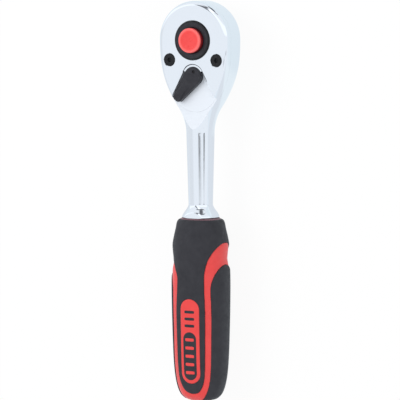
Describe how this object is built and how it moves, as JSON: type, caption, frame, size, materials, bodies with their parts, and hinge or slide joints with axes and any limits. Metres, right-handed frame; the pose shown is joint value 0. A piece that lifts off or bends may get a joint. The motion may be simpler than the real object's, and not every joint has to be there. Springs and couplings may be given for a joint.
{
  "type": "reversible ratchet",
  "caption": "Hand ratchet with a square drive, fine-toothed wheel, thumb reversing lever, push-button socket release and a soft two-colour grip.",
  "frame": {"origin": "middle of the drive square's free end face, on the drive axis", "axes": "+Z along the drive axis towards the release button, +X along the handle from head to butt, +Y across the tool"},
  "size_m": [0.1492, 0.029, 0.0235],
  "materials": {
    "chrome": "polished chrome plate",
    "tool_steel": "hardened and ground",
    "spring_steel": "bright wire",
    "black_oxide": "black oxide",
    "black_plastic": "satin moulded",
    "red_button": "satin moulded",
    "red_core": "satin moulded",
    "soft_black": "matt soft overmould",
    "seal": "matt"
  },
  "bodies": {
    "body": {"ratchet_body": "chrome", "cover_plate": "chrome", "cover_screw_left": "black_oxide", "cover_screw_right": "black_oxide", "thrust_washer": "tool_steel", "pawl_pin": "tool_steel", "grip_core": "red_core", "grip_overmould": "soft_black", "grip_side_left": "soft_black", "grip_side_right": "soft_black", "grip_badge": "red_core"},
    "drive": {"drive_gear": "tool_steel", "release_ring": "black_plastic", "release_spring": "spring_steel"},
    "button": {"release_button": "red_button", "release_pin": "tool_steel"},
    "ball": {"detent_ball": "tool_steel"},
    "lever": {"reversing_lever": "black_plastic", "lever_pin": "tool_steel", "selector_spindle": "tool_steel", "selector_plunger": "tool_steel", "selector_spring": "spring_steel", "lever_oring": "seal"},
    "pawl": {"pawl": "tool_steel"}
  },
  "joints": [
    {"name": "drive_spin", "type": "hinge", "parent": "body", "child": "drive", "pos_m": [0, 0, 0.0137], "axis": [0, 0, 1], "continuous": true},
    {"name": "button_press", "type": "slide", "parent": "drive", "child": "button", "axis": [0, 0, -1], "range_m": [0, 0.002], "stiffness_N_per_m": 2000, "springref_m": -0.001, "deforming": ["release_spring"]},
    {"name": "ball_retract", "type": "slide", "parent": "drive", "child": "ball", "axis": [0, -1, 0], "range_m": [0, 0.0006]},
    {"name": "lever_swing", "type": "hinge", "parent": "body", "child": "lever", "pos_m": [0.0133, 0, 0.0195], "axis": [0, 0, 1], "range_deg": [0, 78]},
    {"name": "pawl_rock", "type": "hinge", "parent": "body", "child": "pawl", "pos_m": [0.01005, 0, 0.0137], "axis": [0, 0, 1], "range_deg": [-7, 0]}
  ],
  "couplings": [
    {"joint": "ball_retract", "follows": "button_press", "ratio": 0.3},
    {"joint": "pawl_rock", "follows": "lever_swing", "ratio": -0.089744}
  ]
}
